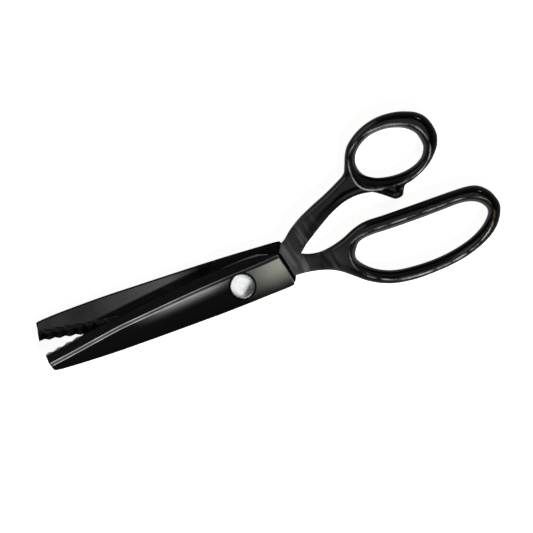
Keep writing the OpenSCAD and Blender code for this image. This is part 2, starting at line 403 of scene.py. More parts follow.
def linear(hex_colour: str) -> tuple[float, float, float, float]:
    """Linear colour of an sRGB hex value such as 1a1a1c."""
    parts = [int(hex_colour[i:i + 2], 16) / 255 for i in (0, 2, 4)]
    bent = [p / 12.92 if p <= 0.04045 else ((p + 0.055) / 1.055) ** 2.4 for p in parts]
    return (bent[0], bent[1], bent[2], 1.0)


class Nodes:
    """A node tree that is being filled."""

    def __init__(self, tree: bpy.types.NodeTree) -> None:
        """Takes the tree."""
        self.tree = tree

    def add(
        self, kind: str, settings: dict | None = None, output: int | str = 0, **links: Socket
    ) -> Socket:
        """Adds a node.

        Args:
            kind: Name of the node type.
            settings: What it is set to, as in set_up.
            output: Number or name of the output that is wanted.
            **links: What feeds it, as in set_up.

        Returns:
            That output of the new node.
        """
        node = self.tree.nodes.new(kind)
        self.set_up(node, settings or {}, links)
        return node.outputs[output]

    def set_up(self, node: bpy.types.Node, settings: dict, links: dict[str, Socket]) -> None:
        """Sets and links a node.

        Args:
            node: The node.
            settings: Its properties, its sockets' values by name or number, and the stops of
                its colour ramp, each a place between 0 and 1 with a hex colour.
            links: Sockets to feed, by name with spaces as underscores, or by s and number.
        """
        for key, value in settings.items():
            if key == "stops":
                band = node.color_ramp.elements
                while len(band) < len(value):
                    band.new(0.5)
                for element, (position, colour) in zip(band, value):
                    element.position = position
                    element.color = linear(colour)
            elif isinstance(key, str) and hasattr(node, key):
                setattr(node, key, value)
            else:
                node.inputs[key].default_value = value
        for key, source in links.items():
            target = int(key[1:]) if key[1:].isdigit() else key.replace("_", " ")
            self.tree.links.new(source, node.inputs[target])


class Coating(Nodes):
    """The node tree of one new material."""

    def __init__(self, name: str) -> None:
        """Starts a material that holds only a shader and its output."""
        self.material = bpy.data.materials.new(name)
        self.material.use_nodes = True
        super().__init__(self.material.node_tree)

    def spot(self, scale: tuple[float, float, float] = (1.0, 1.0, 1.0), turn: float = 0.0) -> Socket:
        """Object coordinates for a pattern.

        Args:
            scale: Number of its repeats to the metre along each axis.
            turn: Turn of the object against the pattern, in degrees.

        Returns:
            The coordinates.
        """
        own = self.add("ShaderNodeTexCoord", output="Object")
        turned = self.add("ShaderNodeMapping", {"Rotation": (0, 0, math.radians(turn))}, Vector=own)
        return self.add("ShaderNodeMapping", {"Scale": scale}, Vector=turned)

    def make(self, settings: dict, **links: Socket) -> bpy.types.Material:
        """The material, once its shader is set and linked as a node is."""
        self.set_up(self.tree.nodes["Principled BSDF"], settings, links)
        return self.material


@dataclass(frozen=True)
class Finish:
    """A finish of a metal part.

    Attributes:
        name: Name of the material.
        colour: Main colour, as sRGB hex.
        stain: Colour that the main one drifts to, as sRGB hex.
        metallic: 1 for bare metal, 0 for a paint.
        roughness: Middle of the roughness range.
        spread: How far the roughness drifts either way.
        grain: Size in millimetres of the surface marks along and across their run.
        depth: Depth of the marks in millimetres.
        turn: Direction of the marks, in degrees from +X.
        round_marks: True where the marks are the rings of a lathe.
        glow: Light that the surface gives off, as a board lit from behind does.
        shine: Specular level of a finish that isn't bare metal.
        fades: Runs along X in millimetres over which it turns to another colour.
    """

    name: str
    colour: str
    stain: str
    metallic: float
    roughness: float
    spread: float = 0.06
    grain: tuple[float, float] = (1.0, 1.0)
    depth: float = 0.01
    turn: float = 0.0
    round_marks: bool = False
    glow: float = 0.0
    shine: float = 0.5
    fades: tuple[tuple[float, float, str], ...] = ()

    def make(self) -> bpy.types.Material:
        """Builds the material.

        Returns:
            The material, with a drift of its colour, and marks in its roughness and bump.
        """
        nodes = Coating(self.name)
        along, across = (1 / (size * MM) for size in self.grain)
        lines = nodes.spot((along, across, across), -self.turn)
        mark = nodes.add("ShaderNodeTexNoise", {"Scale": 1.0, "Detail": 3.0}, Vector=lines)
        if self.round_marks:
            rings = {"wave_type": "RINGS", "rings_direction": "Z", "Scale": across / 20, "Distortion": 1.2}
            mark = nodes.add("ShaderNodeTexWave", rings, "Fac", Vector=nodes.spot())
        drift = nodes.add("ShaderNodeTexNoise", {"Scale": 90.0, "Detail": 4.0}, Vector=nodes.spot())
        cloud = nodes.add("ShaderNodeMapRange", {"From Min": 0.35, "From Max": 0.65}, Value=drift)
        tones = {"stops": [(0.0, self.colour), (1.0, self.stain)]}
        colour = nodes.add("ShaderNodeValToRGB", tones, Fac=cloud)
        east = nodes.add("ShaderNodeSeparateXYZ", Vector=nodes.spot())
        for start, end, other in self.fades:
            run = {"From Min": start * MM, "From Max": end * MM}
            share = nodes.add("ShaderNodeMapRange", run, Value=east)
            blend = {"data_type": "RGBA", 7: linear(other)}
            colour = nodes.add("ShaderNodeMix", blend, 2, s0=share, s6=colour)
        gloss = {
            "From Min": 0.3,
            "From Max": 0.7,
            "To Min": max(self.roughness - self.spread, 0.02),
            "To Max": self.roughness + self.spread,
        }
        return nodes.make(
            {
                "Metallic": self.metallic,
                "Specular IOR Level": self.shine,
                "Emission Color": linear(self.colour),
                "Emission Strength": self.glow,
            },
            Base_Color=colour,
            Roughness=nodes.add("ShaderNodeMapRange", gloss, Value=mark),
            Normal=nodes.add("ShaderNodeBump", {"Distance": self.depth * MM}, Height=mark),
        )


@dataclass(frozen=True)
class BladeBlack:
    """Blackened blade steel that has been linished lengthwise, and fades to bare steel.

    The blade's outer face is near black at its tip and along its back. Beside the facet a
    near-white painted sheen lies over the black. On the plate the black thins, where the
    grinding lines show through with a faint green of oil.
    Each pair holds the places in metres where a tone starts and where it is full.

    Attributes:
        name: Name of the material.
        lean: How far the facet runs off the X axis, to the metre.
        beside_facet: Across the leaning line, for the painted sheen.
        over_plate: In the same way, for the bare plate.
        tip_end: Along X from the tip, for the painted sheen.
        heel_end: Along X from the pivot, for the painted sheen.
        plate_run: Along X, for the plate.
        dark: Colour of the black, as sRGB hex.
        painted_sheen: Colour of the painted sheen beside the facet, a painted highlight.
        plate: Colour of the plate.
    """

    name: str = "Blackened blade steel"
    lean: float = -0.1
    beside_facet: tuple[float, float] = (0.0, 0.0068)
    over_plate: tuple[float, float] = (-0.0105, 0.003)
    tip_end: tuple[float, float] = (-0.058, -0.026)
    heel_end: tuple[float, float] = (0.0, -0.018)
    plate_run: tuple[float, float] = (-0.004, 0.022)
    dark: str = "070708"
    painted_sheen: str = "efefee"
    plate: str = "a8ab9f"

    def make(self) -> bpy.types.Material:
        """Builds the material.

        Returns:
            The material, black at the tip and ground steel at the heel.
        """
        nodes = Coating(self.name)
        along = nodes.add("ShaderNodeSeparateXYZ", Vector=nodes.spot())
        grinding = nodes.spot((30.0, 1600.0, 200.0), -5.7)
        lines = nodes.add("ShaderNodeTexNoise", {"Scale": 1.0, "Detail": 4.0}, Vector=grinding)
        lean = nodes.add("ShaderNodeMath", {"operation": "MULTIPLY", 1: self.lean}, s0=along)
        across = nodes.add("ShaderNodeMath", {"operation": "ADD"}, s0=along.node.outputs["Y"], s1=lean)
        # Painted sheen: a near-white band beside the facet, between the tip end and the heel end, that
        # paints a reflection into the colour.
        start, full = self.beside_facet
        near = nodes.add("ShaderNodeMapRange", {"From Min": start, "From Max": full}, Value=across)
        sheen = nodes.add("ShaderNodeMath", {"operation": "POWER", 1: 3.0}, s0=near)
        run = self.region(nodes, (along, *self.tip_end), (along, *self.heel_end), (lines, 0.1, 0.62))
        painted_sheen = nodes.add("ShaderNodeMath", {"operation": "MULTIPLY"}, s0=run, s1=sheen)
        plate = self.region(
            nodes, (along, *self.plate_run), (across, *self.over_plate), (lines, -0.2, 0.55)
        )
        tones = {"data_type": "RGBA", 6: linear(self.dark), 7: linear(self.painted_sheen)}
        blade = nodes.add("ShaderNodeMix", tones, 2, s0=painted_sheen)
        bare = {"data_type": "RGBA", 7: linear(self.plate)}
        gloss = {"From Min": 0.3, "From Max": 0.7, "To Min": 0.3, "To Max": 0.42}
        groove = {"Strength": 0.6, "Distance": 0.01 * MM}
        return nodes.make(
            {"Metallic": 0.9},
            Base_Color=nodes.add("ShaderNodeMix", bare, 2, s0=plate, s6=blade),
            Roughness=nodes.add("ShaderNodeMapRange", gloss, Value=lines),
            Normal=nodes.add("ShaderNodeBump", groove, Height=lines),
        )

    @staticmethod
    def region(nodes: Nodes, *limits: tuple[Socket, float, float]) -> Socket:
        """Share of a tone that has several limits.

        Args:
            nodes: Tree of the material.
            *limits: For each a source, and its values where the tone starts and is full.

        Returns:
            The product of a smooth step for each limit.
        """
        total = None
        for source, low, high in limits:
            step = {"interpolation_type": "SMOOTHSTEP", "From Min": low, "From Max": high}
            share = nodes.add("ShaderNodeMapRange", step, Value=source)
            if total is not None:
                share = nodes.add("ShaderNodeMath", {"operation": "MULTIPLY"}, s0=total, s1=share)
            total = share
        return total


@dataclass(frozen=True)
class HandleEnamel:
    """Black stoved enamel on a forged handle.

    It is a deep gloss on the rings, with a faint orange peel from the stoving, and lighter grey
    and more satin on the shank beside the plate, with light streaks there. Along the crests of
    the ring and of the lug it carries painted highlight lines, warm at the far end of the bow.

    Attributes:
        name: Name of the material.
        body: Colour on the rings, as sRGB hex.
        shank: Colour beside the plate.
        streak: Colour of the streaks there.
        highlight_colour: Colour of the painted highlight lines along the crests.
        warm: Colour of the same painted highlight at the far end of the bow, a painted warm lamp.
        shank_end: Distances from the pivot in metres where the shank's tone ends and is full.
        streaks_end: The same for the streaks.
        warm_run: Places along X in metres where the painted warm highlight starts and is full.
        peel: Size of the orange peel in millimetres.
    """

    name: str = "Black stoved enamel"
    body: str = "060607"
    shank: str = "4c4c4d"
    streak: str = "6e6e6f"
    highlight_colour: str = "c0c0bc"
    warm: str = "c2a468"
    shank_end: tuple[float, float] = (0.062, 0.024)
    streaks_end: tuple[float, float] = (0.054, 0.03)
    warm_run: tuple[float, float] = (0.1185, 0.1245)
    peel: float = 1.6

    def make(self) -> bpy.types.Material:
        """Builds the material.

        Returns:
            The material, satin on the shank and gloss on the rings.
        """
        nodes = Coating(self.name)
        spot = nodes.spot()
        reach = nodes.add("ShaderNodeVectorMath", {"operation": "LENGTH"}, "Value", Vector=spot)
        shank, near = (
            nodes.add("ShaderNodeMapRange", {"From Min": end, "From Max": full}, Value=reach)
            for end, full in (self.shank_end, self.streaks_end)
        )
        tones = [(0.0, self.body), (0.6, "19191a"), (0.82, "2e2e2f"), (1.0, self.shank)]
        plain = nodes.add("ShaderNodeValToRGB", {"stops": tones}, Fac=shank)
        brushed = nodes.spot((45.0, 300.0, 300.0), 75.0)
        lines = nodes.add("ShaderNodeTexNoise", {"Scale": 1.0, "Detail": 2.0}, Vector=brushed)
        limits = {"From Min": 0.5, "From Max": 0.7, "To Max": 0.7}
        light = nodes.add("ShaderNodeMapRange", limits, Value=lines)
        share = nodes.add("ShaderNodeMath", {"operation": "MULTIPLY"}, s0=near, s1=light)
        streak = {"data_type": "RGBA", 7: linear(self.streak)}
        coat = nodes.add("ShaderNodeMix", streak, 2, s0=share, s6=plain)
        # Painted highlight lines along the crests of the ring and lug, pale, in patches.
        wear = nodes.add("ShaderNodeAttribute", {"attribute_name": "wear"}, "Fac")
        cloud = nodes.add("ShaderNodeTexNoise", {"Scale": 140.0, "Detail": 5.0}, Vector=spot)
        patchy = nodes.add("ShaderNodeMapRange", {"From Min": 0.4, "From Max": 0.6}, Value=cloud)
        amount = nodes.add("ShaderNodeMath", {"operation": "MULTIPLY"}, s0=wear, s1=patchy)
        east = nodes.add("ShaderNodeSeparateXYZ", Vector=spot)
        # Painted warm highlight towards the far end of the bow, where a warm lamp is painted in.
        start, full = self.warm_run
        end = nodes.add("ShaderNodeMapRange", {"From Min": start, "From Max": full}, Value=east)
        metal = {"data_type": "RGBA", 6: linear(self.highlight_colour), 7: linear(self.warm)}
        under = nodes.add("ShaderNodeMix", metal, 2, s0=end)
        skin = {"Scale": 1 / (self.peel * MM), "Detail": 1.0}
        peel = nodes.add("ShaderNodeTexNoise", skin, Vector=spot)
        return nodes.make(
            {"Specular IOR Level": 0.18},
            Base_Color=nodes.add("ShaderNodeMix", {"data_type": "RGBA"}, 2, s0=amount, s6=coat, s7=under),
            Roughness=nodes.add("ShaderNodeMapRange", {"To Min": 0.14, "To Max": 0.5}, Value=shank),
            Normal=nodes.add("ShaderNodeBump", {"Strength": 0.5, "Distance": 0.02 * MM}, Height=peel),
        )


# Ground narrow facet of the blade: a mid grey band with long fine lines.
GROUND_FACET = Finish(
    "Ground steel facet", "5e5f5f", "484949", 1.0, 0.34, grain=(12.0, 0.25), depth=0.006, turn=11.0,
    fades=((-34.0, -8.0, "222323"),),
)
# Edges of the facet: a painted highlight, a bright line on each side that stands in for light caught by
# the edges, dimmer towards the pivot.
PAINTED_FACET_HIGHLIGHT = Finish(
    "Facet edge painted highlight", "d0d1d1", "aaabab", 1.0, 0.3, grain=(6.0, 0.4), depth=0.004, turn=11.0,
    fades=((-40.0, -4.0, "585a59"),),
)
# Matt black of the bevel, which keeps the mill's fine tooth and gives no highlight. The same black is laid
# as painted shade in the groove behind the plate, in the recess round the pivot, on the pad round the
# pivot and along the rounded back of the inner face.
BEVEL_BLACK_AND_PAINTED_SHADE = Finish(
    "Matt black bevel", "040405", "070707", 0.0, 0.45, grain=(3.0, 0.5), depth=0.01, shine=0.06
)
# Inner face of the blade: dark grey oxide with faint lengthwise lines. Along X it is painted lighter from
# -72 to -34 mm as a painted sheen, and darker from -32 to -17 mm as painted shade towards the pivot.
HOLLOW_GREY = Finish(
    "Dark oxide hollow", "3b3b3d", "2f2f31", 0.0, 0.55, grain=(14.0, 0.35), depth=0.008, turn=2.0,
    shine=0.04, fades=((-72.0, -34.0, "5f5f60"), (-32.0, -17.0, "0c0c0d")),
)
# Ground flanks of the teeth, dark with oil, and the land above them, which carries a painted highlight
# streak that brightens towards the heel.
TOOTH_STEEL_AND_LAND_HIGHLIGHT = Finish(
    "Oiled tooth steel", "0a0a0b", "141415", 0.6, 0.38, grain=(0.3, 4.0), depth=0.006,
    fades=((-8.0, 14.0, "bcbcbd"),),
)
# Narrow bright chamfer at the end of the plate, ground across.
CHAMFER_STEEL = Finish(
    "Bright chamfer", "a5a8a2", "8b8e89", 1.0, 0.3, grain=(0.6, 5.0), depth=0.004
)
# Buffed chrome over turned steel: white where it sees a lamp, with the faintest turning rings.
CHROME = Finish(
    "Polished chrome", "f1f2f2", "dfe1e2", 1.0, 0.2, spread=0.03, grain=(0.8, 0.5), depth=0.0004,
    round_marks=True,
)
# Pressed and sintered bronze: warm and dull, with a fine open grain.
BRONZE = Finish("Sintered bronze", "a5764a", "8b6038", 1.0, 0.42, grain=(0.25, 0.25), depth=0.01)
# Brass sheet as rolled and stamped: yellow, with fine lines one way.
CAGE_BRASS = Finish("Stamped cage brass", "c3a054", "a98743", 1.0, 0.32, grain=(2.0, 0.3), depth=0.005)
# Hardened balls, lapped to a mirror.
BALL_STEEL = Finish(
    "Lapped ball steel", "d3d6d9", "c6c9cc", 1.0, 0.08, spread=0.02, grain=(0.6, 0.6), depth=0.001
)
# Tempered strip with a thin grey-blue oxide.
SPRING_STEEL = Finish("Blued spring steel", "55565c", "43464f", 1.0, 0.36, grain=(4.0, 0.3), depth=0.004)
# Bright nickel over a turned nut: warmer than chrome, with turning rings.
NICKEL = Finish(
    "Bright nickel plate", "c9c6bd", "b5b1a6", 1.0, 0.24, grain=(0.8, 0.4), depth=0.003, round_marks=True
)
# Matt board lit from behind, so that the shears throw almost no shadow on it.
FLOOR = Finish(
    "Pale studio board", "f2f2f1", "f0f0ef", 0.0, 0.95, grain=(60.0, 60.0), depth=0.0, glow=1.06
)


# ---------------------------------------------------------------- the two halves


@dataclass
class Half:
    """One half of the shears: blade, plate, shank and ring in one forging.

    The blade's heights are measured from its outer face, and turned over for the upper half.

    Attributes:
        name: Name of the piece.
        node: CAD node that it stands for.
        body: Body that it rides on.
        upper: True for the half whose outer face is up.
        spine: Back of the blade, from the heel to the tip.
        edge: Toothed edge, from the heel to the tip, through the points of the teeth.
        heel: End of the plate, from the edge to the spine.
        ridge: Line between the outer face and the bevel.
        handle: Outer outline of the handle.
        hole: Opening of its ring.
        rim: Crest line round the opening.
        bore: Loop that is cut through at the pivot.
        recess: Radius and depth of the recess in the outer face.
        strip: Width of the toothed strip at the tip and at the heel.
        facet: Where the ground facet starts and ends, from the ridge towards the spine.
        thread: Width of the painted highlight line on each side of the facet.
        facet_drop: Fall of the facet across its width.
        spine_round: Radius of the rounded back on the outer face.
        inner_round: Radius of the rounded back on the inner face.
        wall: Run of the short steps in the inner face.
        strip_lean: Run of the toothed strip's sloped inner side.
        chamfer: Size of the chamfer at the end of the plate.
        band_round: Width of the handle's rounded outer edge.
        flare: Width of its rounded inner edge underneath.
        groove: Width of the painted shade in the groove behind the plate.
        painted_highlight_width: Width of the painted highlight line along a crest.
        lug: Crest of the stop lug, which the upper half has.
        black: Finish of the outer face.
    """

    name: str
    node: str
    body: str
    upper: bool
    spine: Pairs
    edge: Pairs
    heel: Pairs
    ridge: Pairs
    handle: Pairs
    hole: Pairs
    rim: Pairs
    bore: Points
    recess: tuple[float, float]
    strip: tuple[float, float] = (4.9, 5.6)
    facet: tuple[float, float] = (0.5, 2.3)
    thread: float = 0.3
    facet_drop: float = 0.16
    spine_round: float = 1.3
    inner_round: float = 0.8
    wall: float = 0.3
    strip_lean: float = 1.8
    chamfer: float = 0.5
    band_round: float = 4.6
    flare: float = 2.0
    groove: float = 1.5
    painted_highlight_width: float = 0.22
    lug: Pairs = ((82.2, 18.0), (83.3, 19.1), (85.3, 19.6), (87.0, 19.6))
    black: BladeBlack = BladeBlack()

    def __post_init__(self) -> None:
        """Works out the smooth lines of the plan from its points."""
        self.side = -1 if self.upper else 1
        self.tip_height = PLATE + TOOTH_HEIGHT / 2
        self.spine_line = smooth(self.spine, 5)
        self.edge_line = self.toothed(smooth(self.edge, 12))
        self.heel_line = smooth(self.heel, 4)
        start, end = self.facet
        self.crest_line = self.beside_ridge(start)
        self.facet_line = self.beside_ridge(end)
        land = LAND_LEAN * (self.tip_height - LAND_HEIGHT)
        self.foot_line = self.longer(self.inwards(self.edge_line[::3], land))
        radius = radius_of(self.edge_line)
        flat = np.where(radius < BOSS_RADIUS, BOSS_FACE, WEB)
        height = np.where(radius > TEETH_FROM, self.teeth(radius), flat)
        self.cut_line = self.inwards(self.edge_line, LAND_LEAN * (self.tip_height - height))
        self.blade_loop = np.vstack([self.spine_line, self.cut_line[::-1], self.heel_line])
        self.end_line = np.vstack([self.spine_line, self.cut_line[-1:]])
        self.handle_loop = smooth(self.handle, 6, True)
        self.hole_loop = smooth(self.hole, 6, True)
        self.rim_loop = smooth(self.rim, 6, True)
        self.lug_line = smooth(self.lug, 5)

    def inwards(self, line: Points, distance: float | Values) -> Points:
        """A line along the blade moved towards the spine."""
        return beside(line, -self.side * np.asarray(distance, float))

    @staticmethod
    def longer(line: Points, step: float = 1.5) -> Points:
        """A line along the blade carried on past its tip, or past any other last point."""
        ahead = line[-1] - line[-2]
        return np.vstack([line, line[-1] + step * ahead / np.linalg.norm(ahead)])

    def beside_ridge(self, distance: float) -> Points:
        """A line beside the ridge, carried on past the heel of the plate and past the tip."""
        ridge = self.longer(smooth(self.ridge, 5)[::-1], 4.2)[::-1]
        return self.longer(self.inwards(ridge, distance))

    @staticmethod
    def toothed(line: Points) -> Points:
        """Sets a point at each root and tip of the teeth.

        Args:
            line: The plain edge line.

        Returns:
            The edge line with those points, and even ones between them.
        """
        radius = radius_of(line)
        start = int(np.argmin(radius))
        start += int(np.argmax(radius[start:] > TEETH_FROM))
        roots = TOOTH_RADII[TOOTH_RADII < radius[-1] - 0.05]
        steps = np.arange(TEETH_FROM + 0.01, radius[-1], TOOTH_PITCH / 12)
        steps = steps[np.abs(steps[:, None] - roots[None]).min(1) > 0.12]
        wanted = np.sort(np.concatenate([steps, roots]))
        found = np.column_stack([
            np.interp(wanted, radius[start - 1:], line[start - 1:, axis]) for axis in (0, 1)
        ])
        return np.vstack([line[:start:3], found, line[-1:]])

    def teeth(self, radius: Values) -> Values:
        """Height of the saw-toothed face above the outer face, at a radius."""
        return PLATE - TOOTH_GAP / 2 + self.side * saw(radius)

    def strip_width(self, points: Points) -> Values:
        """Width of the toothed strip, which narrows to the tip."""
        tip, heel = self.strip
        return tip + (heel - tip) * between(points[:, 0], *STRIP_RUN)

    def on_blade(self, points: Points) -> Mask:
        """True for each point that lies on the blade or its plate."""
        return within(points, self.blade_loop) | (away_from(points, self.blade_loop, True) < ON_LINE)

    def beyond(self, points: Points, line: Points) -> Mask:
        """True for each point on the toothed side of a line that runs along the blade."""
        order = np.argsort(line[:, 0])
        level = np.interp(points[:, 0], line[order, 0], line[order, 1])
        return (points[:, 1] - level) * self.side < -1e-3

    def pad(self, points: Points) -> Values:
        """How far each point is inside the pad round the pivot."""
        return np.maximum(BOSS_RADIUS - radius_of(points), points[:, 0] - BOSS_RADIUS / 3)

    def end_rounding(self, points: Points, radius: float) -> Values:
        """Fall of a face near the back and the tip end of the blade."""
        near = np.maximum(radius - away_from(points, self.end_line), 0)
        return radius - np.sqrt(radius**2 - near**2)

    def inner(self, points: Points) -> Values:
        """Shapes the inner face: teeth, hollow, pad and ball groove.

        Args:
            points: Places in the plan.

        Returns:
            Its height above the outer face.
        """
        radius = radius_of(points)
        depth = away_from(points, self.edge_line) - self.strip_width(points)
        slope = np.clip((depth + self.strip_lean) / (self.strip_lean + self.wall), 0, 1)
        start = np.clip((radius - TEETH_FROM) / self.wall, 0, 1)
        height = WEB + (self.teeth(radius) - WEB) * (1 - slope) * start
        height -= self.end_rounding(points, self.inner_round) * slope
        height += (BOSS_FACE - height) * np.clip(self.pad(points) / self.wall + 1, 0, 1)
        across = np.abs(radius - GROOVE_RADIUS)
        gutter = PLATE - np.sqrt(np.maximum(GROOVE_SIZE**2 - across**2, 0))
        return np.where(across < GROOVE_SIZE, np.minimum(height, gutter), height)

    def outer(self, points: Points) -> Values:
        """Shapes the outer face: land, bevel, facet, rounded back, chamfer and recess.

        Args:
            points: Places in the plan.

        Returns:
            Its height above the flat that it lies on.
        """
        foot = away_from(points, self.foot_line)
        crest = away_from(points, self.crest_line)
        run = foot / np.maximum(foot + crest, 1e-6)
        height = LAND_HEIGHT + (self.facet_drop - LAND_HEIGHT) * run
        land = self.tip_height - away_from(points, self.edge_line) / LAND_LEAN
        height = np.where(self.beyond(points, self.foot_line), np.maximum(land, LAND_HEIGHT), height)
        start, end = self.facet
        face = self.facet_drop * np.clip(1 - crest / (end - start), 0, 1)
        height = np.where(self.beyond(points, self.crest_line), height, face)
        height = np.maximum(height, self.end_rounding(points, self.spine_round))
        height = np.maximum(height, self.chamfer - away_from(points, self.heel_line))
        hollow, depth = self.recess
        radius = radius_of(points)
        foot_step, top_step, lip_step = RECESS_STEPS
        wall = depth * np.clip((hollow + top_step - radius) / (top_step - foot_step), 0, 1)
        lip = np.clip(hollow + lip_step - radius, 0, lip_step - top_step)
        return np.maximum(height, np.maximum(wall, lip))

    def section(self, points: Points) -> tuple[Values, Values]:
        """Shapes the handle.

        Args:
            points: Places in the plan.

        Returns:
            Heights of its lower and upper face, from the flat that the shears lie on.
        """
        radius = radius_of(points)
        gone = between(radius, CROSS_RADIUS, CROSS_RADIUS + CROSS_RUN)
        if self.upper:
            low = (STACK - BOSS_FACE) * (1 - gone)
            high = np.full(len(points), HANDLE_TOP)
        else:
            low = UNDER_LIFT * (1 - between(radius, *UNDER_RUN))
            high = BOSS_FACE + (HANDLE_TOP - BOSS_FACE) * gone
        middle = (low + high) / 2
        half = (high - low) / 2
        edge = quarter_round(away_from(points, self.handle_loop, True) / self.band_round, EDGE_LEAST)
        hole = away_from(points, self.hole_loop, True)
        rim = away_from(points, self.rim_loop, True)
        run = np.where(within(points, self.rim_loop), hole / np.maximum(hole + rim, 1e-6), 1.0)
        slope = RIM_LEAST + (1 - RIM_LEAST) * np.sin(run * math.pi / 2) ** RIM_POWER
        top = middle + half * np.minimum(edge, slope)
        flare = quarter_round(hole / self.flare, FLARE_LEAST)
        bottom = middle - half * np.minimum(edge, flare)
        near, _, far = HEEL_GROOVE
        groove = HEEL_DEPTH * (1 - between(away_from(points, self.heel_line), near, far))
        return (bottom, top - groove) if self.upper else (bottom + 0.3 * groove, top)

    def height(self, top: bool) -> Field:
        """The height of one surface of the whole half, as a function of the place."""
        def of(points: Points) -> Values:
            """Height at each point, from the flat that the shears lie on."""
            plate = self.outer(points) if top == self.upper else self.inner(points)
            plate = STACK - plate if self.upper else plate
            return np.where(self.on_blade(points), plate, self.section(points)[int(top)])
        return of

    def creases(self) -> list[Crease]:
        """Gathers the lines that the half's faces follow.

        Returns:
            The creases of the blade, its teeth, the pivot, the heel, the ring and the lug.
        """
        start, end = self.facet
        lines = [Crease(line) for line in (self.crest_line, self.facet_line, self.foot_line)]
        for distance in (start + self.thread, end - self.thread):
            lines.append(Crease(self.beside_ridge(distance), sharp=False))
        toothed = self.edge_line[radius_of(self.edge_line) > TEETH_FROM]
        widths = self.strip_width(toothed)
        for step in (-self.strip_lean, self.wall):
            lines.append(Crease(self.longer(self.inwards(toothed, widths + step))[::2]))
        lines.append(Crease(self.inwards(self.spine_line, -self.inner_round), sharp=False))
        lines += self.tooth_arcs()
        rings = [self.recess[0] + step for step in RECESS_STEPS]
        for radius in rings + [BOSS_RADIUS, BOSS_RADIUS + self.wall]:
            lines.append(Crease(ring(radius, ROUND), True))
        for turn in np.linspace(-80.0, 80.0, 15):
            radius = GROOVE_RADIUS + math.sin(math.radians(turn)) * GROOVE_SIZE
            lines.append(Crease(ring(radius, ROUND), True, abs(turn) == 80.0))
        for step in (-self.chamfer, *HEEL_GROOVE):
            lines.append(Crease(self.heel_line + np.array([step, 0.0]), sharp=step < 0))
        lines.append(Crease(self.rim_loop, True, False))
        if self.upper:
            lines += [Crease(beside(self.lug_line, step), sharp=False) for step in (-0.4, 0.0, 0.4)]
        return lines

    def tooth_arcs(self) -> list[Crease]:
        """Draws the roots and crests of the teeth across the strip.

        Returns:
            An arc round the pivot for each, which ends at the foot of the strip's side.
        """
        arcs = []
        for radius in TOOTH_RADII:
            gap = np.abs(radius_of(self.edge_line) - radius)
            if gap.min() > ON_LINE:
                continue
            first = self.cut_line[int(np.argmin(gap))]
            turn = math.atan2(first[1], first[0]) - self.side * np.linspace(0.8, 12, 57) / radius
            arc = radius * np.column_stack([np.cos(turn), np.sin(turn)])
            deep = away_from(arc, self.edge_line) - self.strip_width(arc)
            stop = max(int(np.argmax(deep > -self.strip_lean)), 1)
            foot = max(int(np.argmax(deep > self.wall)), stop + 1)
            arcs.append(Crease(np.vstack([first[None], arc[:stop:6], arc[[stop, foot]]])))
        return arcs

    def on_handle(self, points: Points) -> Points:
        """The points that lie on the handle alone."""
        bare = within(points, self.handle_loop) & ~within(points, self.hole_loop)
        return points[bare & ~within(points, self.blade_loop)]

    def on_band(self, points: Points, from_edge: float, from_rim: float) -> Points:
        """The points on the handle's band that keep their distances from its edge and rim."""
        points = self.on_handle(points)
        keep = away_from(points, self.handle_loop, True) > from_edge
        keep &= away_from(points, self.rim_loop, True) > from_rim
        return points[keep & ~within(points, self.rim_loop)]

    def loose_points(self) -> list[Points]:
        """Sets more points where the half's faces are rounded.

        Returns:
            Points along the back, all over the band, along its edge, and between hole and rim.
        """
        groups = []
        for share in BACK_SHARES:
            back = self.inwards(self.spine_line, -share * self.spine_round)
            groups.append(back[within(back, self.blade_loop)])
        rows = np.meshgrid(np.arange(12, 130, GRID_STEP), np.arange(-25, 57, GRID_STEP))
        grid = np.stack(rows, -1).reshape(-1, 2)
        grid = grid + 0.37 * np.column_stack([np.sin(grid[:, 1] * 9), np.sin(grid[:, 0] * 7)])
        groups.append(self.on_band(grid, self.band_round * 1.25, 1.0))
        for share in BAND_SHARES:
            reach = share * self.band_round
            groups.append(self.on_band(beside(self.handle_loop, reach, True), 0.96 * reach, 0.35))
        for share in SLOPE_SHARES:
            groups.append(self.on_handle(self.hole_loop + share * (self.rim_loop - self.hole_loop)))
        return groups

    def finish_at(self, points: Points, side: Side) -> np.ndarray:
        """Picks the finish of each face.

        Args:
            points: Middles of the faces.
            side: The surface that they are on.

        Returns:
            Numbers in the order of finishes().
        """
        number = {finish.name: index for index, finish in enumerate(self.finishes())}
        out = np.full(len(points), number[HandleEnamel.name])
        blade = self.on_blade(points)
        radius = radius_of(points)

        def coat(finish: Finish | BladeBlack, where: Mask) -> None:
            """Puts a finish over what is there."""
            out[where] = number[finish.name]

        if side is Side.WALL:
            coat(HOLLOW_GREY, blade)
        elif side is (Side.BOTTOM if self.upper else Side.TOP):
            depth = away_from(points, self.edge_line)
            strip = (radius > TEETH_FROM) & (depth < self.strip_width(points) + self.wall)
            back = away_from(points, self.end_line) < self.inner_round
            coat(HOLLOW_GREY, blade)
            coat(TOOTH_STEEL_AND_LAND_HIGHLIGHT, blade & strip)
            # painted shade along the rounded back of the inner face and on the pad round the pivot
            coat(BEVEL_BLACK_AND_PAINTED_SHADE, blade & (back | (self.pad(points) > -self.wall)))
        else:
            start, end = self.facet
            crest = away_from(points, self.crest_line)
            heel = away_from(points, self.heel_line)
            bevel = self.beyond(points, self.crest_line)
            facet = blade & self.beyond(points, self.facet_line) & ~bevel
            coat(self.black, blade)
            coat(GROUND_FACET, facet)
            # painted highlight lines along both edges of the facet
            coat(PAINTED_FACET_HIGHLIGHT, facet & ((crest < self.thread) | (crest > end - start - self.thread)))
            coat(BEVEL_BLACK_AND_PAINTED_SHADE, blade & bevel)
